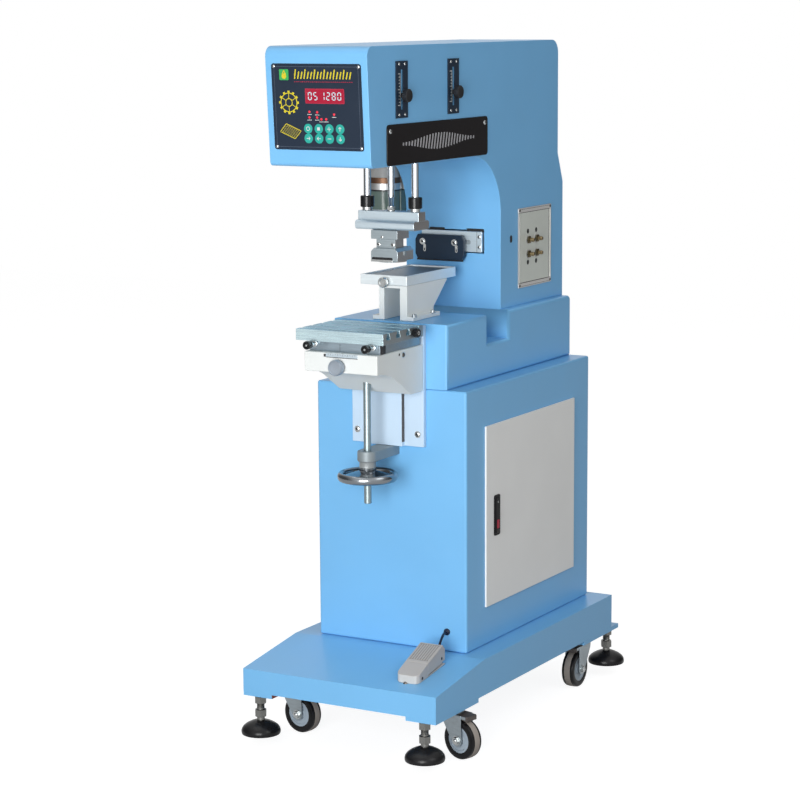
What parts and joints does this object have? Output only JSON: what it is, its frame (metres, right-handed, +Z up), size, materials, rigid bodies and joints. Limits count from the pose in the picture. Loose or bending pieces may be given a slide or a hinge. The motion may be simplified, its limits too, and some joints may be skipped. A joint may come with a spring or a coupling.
{
  "type": "pad printing machine",
  "caption": "Floor-standing pad printer: C-frame column with control panel, pad carriage, ink tray, lifting T-slot table, cabinet with door, pedal, casters and levelling feet",
  "frame": {"origin": "middle of the footprint, on the floor", "axes": "+Z up, -Y the operator's side, +X the door's side"},
  "size_m": [0.4592, 0.8618, 1.3015],
  "materials": {
    "aluminium": "brushed aluminium",
    "beige_plastic": "grained grey-beige plastic",
    "black_anodised": "black satin finish",
    "black_rubber": "black rubber",
    "brass": "turned brass",
    "chrome": "polished chrome",
    "cream_paint": "satin cream paint",
    "dark_plastic": "black moulded plastic",
    "ground_steel": "ground steel",
    "light_grey_paint": "satin light grey paint",
    "panel_film": "dark printed film",
    "sky_blue_paint": "glossy sky-blue paint",
    "zinc": "zinc-plated steel"
  },
  "bodies": {
    "frame_body": {"air_panel": "aluminium", "base_plinth": "sky_blue_paint", "c_frame_shell": "sky_blue_paint", "cable_grommet": "black_rubber", "cliche_plate": "ground_steel", "control_panel": "panel_film", "filter_regulator": "light_grey_paint", "foot_pedal_base": "beige_plastic", "ink_stand": "cream_paint", "ink_tray": "aluminium", "lower_cabinet": "sky_blue_paint", "mid_body": "sky_blue_paint", "name_plate": "black_anodised", "pedal_cable": "black_rubber", "rear_cover": "sky_blue_paint", "screw_bracket": "ground_steel", "slide_plate": "light_grey_paint", "stroke_plate_front": "black_anodised", "stroke_plate_rear": "black_anodised"},
    "door": {"cabinet_door": "light_grey_paint"},
    "latch": {"door_latch": "dark_plastic"},
    "carriage": {"head_carriage": "ground_steel", "blade_bar": "aluminium"},
    "blade": {"blade_holder": "black_anodised"},
    "pad_head": {"guide_rod_left": "chrome", "guide_rod_right": "chrome", "piston_rod": "chrome", "rod_collar_left": "dark_plastic", "rod_collar_right": "dark_plastic", "pad_holder_bar": "aluminium", "pad_clamp_block": "aluminium"},
    "knee": {"knee_bracket": "cream_paint", "lead_screw": "ground_steel"},
    "handwheel_body": {"handwheel": "chrome"},
    "cross_slide": {"table_sub_plate": "ground_steel"},
    "table": {"t_slot_table": "ground_steel"},
    "front_knob_left": {"table_knob_left": "dark_plastic"},
    "front_knob_right": {"table_knob_right": "dark_plastic"},
    "side_knob": {"table_side_knob": "dark_plastic"},
    "lock": {"lock_knob": "aluminium"},
    "front_stroke": {"stroke_knob_front": "dark_plastic"},
    "rear_stroke": {"stroke_knob_rear": "dark_plastic"},
    "thumb_screw": {"plate_screw": "chrome"},
    "tread": {"foot_pedal_top": "beige_plastic"},
    "valve_1": {"flow_valve_1": "brass"},
    "valve_2": {"flow_valve_2": "brass"},
    "valve_3": {"flow_valve_3": "brass"},
    "valve_4": {"flow_valve_4": "brass"},
    "swivel_front_right": {"caster_fork_front_right": "zinc"},
    "wheel_front_right": {"caster_wheel_front_right": "black_rubber"},
    "swivel_front_left": {"caster_fork_front_left": "zinc"},
    "wheel_front_left": {"caster_wheel_front_left": "black_rubber"},
    "swivel_rear_right": {"caster_fork_rear_right": "zinc"},
    "wheel_rear_right": {"caster_wheel_rear_right": "black_rubber"},
    "swivel_rear_left": {"caster_fork_rear_left": "zinc"},
    "wheel_rear_left": {"caster_wheel_rear_left": "black_rubber"},
    "foot_front_right": {"levelling_foot_front_right": "black_rubber"},
    "foot_front_left": {"levelling_foot_front_left": "black_rubber"},
    "foot_rear_right": {"levelling_foot_rear_right": "black_rubber"},
    "foot_rear_left": {"levelling_foot_rear_left": "black_rubber"}
  },
  "joints": [
    {"name": "door_hinge", "type": "hinge", "parent": "frame_body", "child": "door", "pos_m": [0.15583, 0.27893, 0.246], "axis": [0, 0, 1], "range_deg": [0, 110]},
    {"name": "latch_lift", "type": "hinge", "parent": "door", "child": "latch", "pos_m": [0.15813, -0.06182, 0.3785], "axis": [0, 1, 0], "range_deg": [0, 60]},
    {"name": "carriage_slide", "type": "slide", "parent": "frame_body", "child": "carriage", "axis": [0, 1, 0], "range_m": [-0.15, 0.006]},
    {"name": "pad_lift", "type": "slide", "parent": "carriage", "child": "pad_head", "axis": [0, 0, 1], "range_m": [-0.022, 0]},
    {"name": "blade_lift", "type": "slide", "parent": "carriage", "child": "blade", "axis": [0, 0, 1], "range_m": [-0.006, 0.002]},
    {"name": "table_lift", "type": "slide", "parent": "frame_body", "child": "knee", "axis": [0, 0, 1], "range_m": [-0.09, 0.03]},
    {"name": "handwheel_turn", "type": "hinge", "parent": "frame_body", "child": "handwheel_body", "pos_m": [-0.00707, -0.26107, 0.5282], "axis": [0, 0, 1], "range_deg": [-1081, 3241]},
    {"name": "cross_slide_y", "type": "slide", "parent": "knee", "child": "cross_slide", "axis": [0, 1, 0], "range_m": [-0.006, 0.006]},
    {"name": "table_slide_x", "type": "slide", "parent": "cross_slide", "child": "table", "axis": [1, 0, 0], "range_m": [-0.01, 0.01]},
    {"name": "front_knob_left_turn", "type": "hinge", "parent": "cross_slide", "child": "front_knob_left", "pos_m": [-0.06807, -0.34037, 0.7624], "axis": [0, 1, 0], "range_deg": [-1081, 1081]},
    {"name": "front_knob_right_turn", "type": "hinge", "parent": "cross_slide", "child": "front_knob_right", "pos_m": [0.05393, -0.34037, 0.7624], "axis": [0, 1, 0], "range_deg": [-1081, 1081]},
    {"name": "side_knob_turn", "type": "hinge", "parent": "table", "child": "side_knob", "pos_m": [0.08473, -0.24607, 0.78265], "axis": [1, 0, 0], "range_deg": [-1801, 1801]},
    {"name": "lock_knob_turn", "type": "hinge", "parent": "knee", "child": "lock", "pos_m": [-0.01007, -0.35537, 0.7275], "axis": [0, -1, 0], "range_deg": [-720, 90]},
    {"name": "stroke_set_front", "type": "slide", "parent": "frame_body", "child": "front_stroke", "axis": [0, 0, 1], "range_m": [-0.02, 0.041]},
    {"name": "stroke_set_rear", "type": "slide", "parent": "frame_body", "child": "rear_stroke", "axis": [0, 0, 1], "range_m": [-0.02, 0.041]},
    {"name": "valve_1_turn", "type": "hinge", "parent": "frame_body", "child": "valve_1", "pos_m": [0.09953, 0.18743, 0.9155], "axis": [1, 0, 0], "range_deg": [-1080, 1080]},
    {"name": "valve_2_turn", "type": "hinge", "parent": "frame_body", "child": "valve_2", "pos_m": [0.09953, 0.22343, 0.9155], "axis": [1, 0, 0], "range_deg": [-1080, 1080]},
    {"name": "valve_3_turn", "type": "hinge", "parent": "frame_body", "child": "valve_3", "pos_m": [0.09953, 0.18743, 0.8875], "axis": [1, 0, 0], "range_deg": [-1080, 1080]},
    {"name": "valve_4_turn", "type": "hinge", "parent": "frame_body", "child": "valve_4", "pos_m": [0.09953, 0.22343, 0.8875], "axis": [1, 0, 0], "range_deg": [-1080, 1080]},
    {"name": "plate_screw_turn", "type": "hinge", "parent": "frame_body", "child": "thumb_screw", "pos_m": [-0.02507, -0.15987, 0.861], "axis": [0, -1, 0], "range_deg": [-1080, 90]},
    {"name": "pedal_press", "type": "hinge", "parent": "frame_body", "child": "tread", "pos_m": [0.11743, -0.30107, 0.16049], "axis": [-1, 0, 0], "range_deg": [0, 4], "stiffness_Nm_per_rad": 2, "springref_deg": -8.59},
    {"name": "swivel_turn_front_right", "type": "hinge", "parent": "frame_body", "child": "swivel_front_right", "pos_m": [0.16693, -0.25407, 0.075], "axis": [0, 0, 1], "continuous": true},
    {"name": "wheel_roll_front_right", "type": "hinge", "parent": "swivel_front_right", "child": "wheel_front_right", "pos_m": [0.19103, -0.26071, 0.0375], "axis": [0.2656, 0.9641, 0], "continuous": true},
    {"name": "swivel_turn_front_left", "type": "hinge", "parent": "frame_body", "child": "swivel_front_left", "pos_m": [-0.18107, -0.25407, 0.075], "axis": [0, 0, 1], "continuous": true},
    {"name": "wheel_roll_front_left", "type": "hinge", "parent": "swivel_front_left", "child": "wheel_front_left", "pos_m": [-0.15645, -0.25842, 0.0375], "axis": [0.1736, 0.9848, 0], "continuous": true},
    {"name": "swivel_turn_rear_right", "type": "hinge", "parent": "frame_body", "child": "swivel_rear_right", "pos_m": [0.16493, 0.29593, 0.075], "axis": [0, 0, 1], "continuous": true},
    {"name": "wheel_roll_rear_right", "type": "hinge", "parent": "swivel_rear_right", "child": "wheel_rear_right", "pos_m": [0.16493, 0.27093, 0.0375], "axis": [1, 0, 0], "continuous": true},
    {"name": "swivel_turn_rear_left", "type": "hinge", "parent": "frame_body", "child": "swivel_rear_left", "pos_m": [-0.17907, 0.29593, 0.075], "axis": [0, 0, 1], "continuous": true},
    {"name": "wheel_roll_rear_left", "type": "hinge", "parent": "swivel_rear_left", "child": "wheel_rear_left", "pos_m": [-0.17907, 0.27093, 0.0375], "axis": [1, 0, 0], "continuous": true},
    {"name": "foot_screw_front_right", "type": "slide", "parent": "frame_body", "child": "foot_front_right", "axis": [0, 0, 1], "range_m": [-0.021, 0]},
    {"name": "foot_screw_front_left", "type": "slide", "parent": "frame_body", "child": "foot_front_left", "axis": [0, 0, 1], "range_m": [-0.021, 0]},
    {"name": "foot_screw_rear_right", "type": "slide", "parent": "frame_body", "child": "foot_rear_right", "axis": [0, 0, 1], "range_m": [-0.021, 0]},
    {"name": "foot_screw_rear_left", "type": "slide", "parent": "frame_body", "child": "foot_rear_left", "axis": [0, 0, 1], "range_m": [-0.021, 0]}
  ],
  "couplings": [
    {"joint": "handwheel_turn", "follows": "table_lift", "rad_per_m": -628.32},
    {"joint": "front_knob_left_turn", "follows": "cross_slide_y", "rad_per_m": 3141.6},
    {"joint": "front_knob_right_turn", "follows": "cross_slide_y", "rad_per_m": 3141.6},
    {"joint": "side_knob_turn", "follows": "table_slide_x", "rad_per_m": 3141.6}
  ]
}
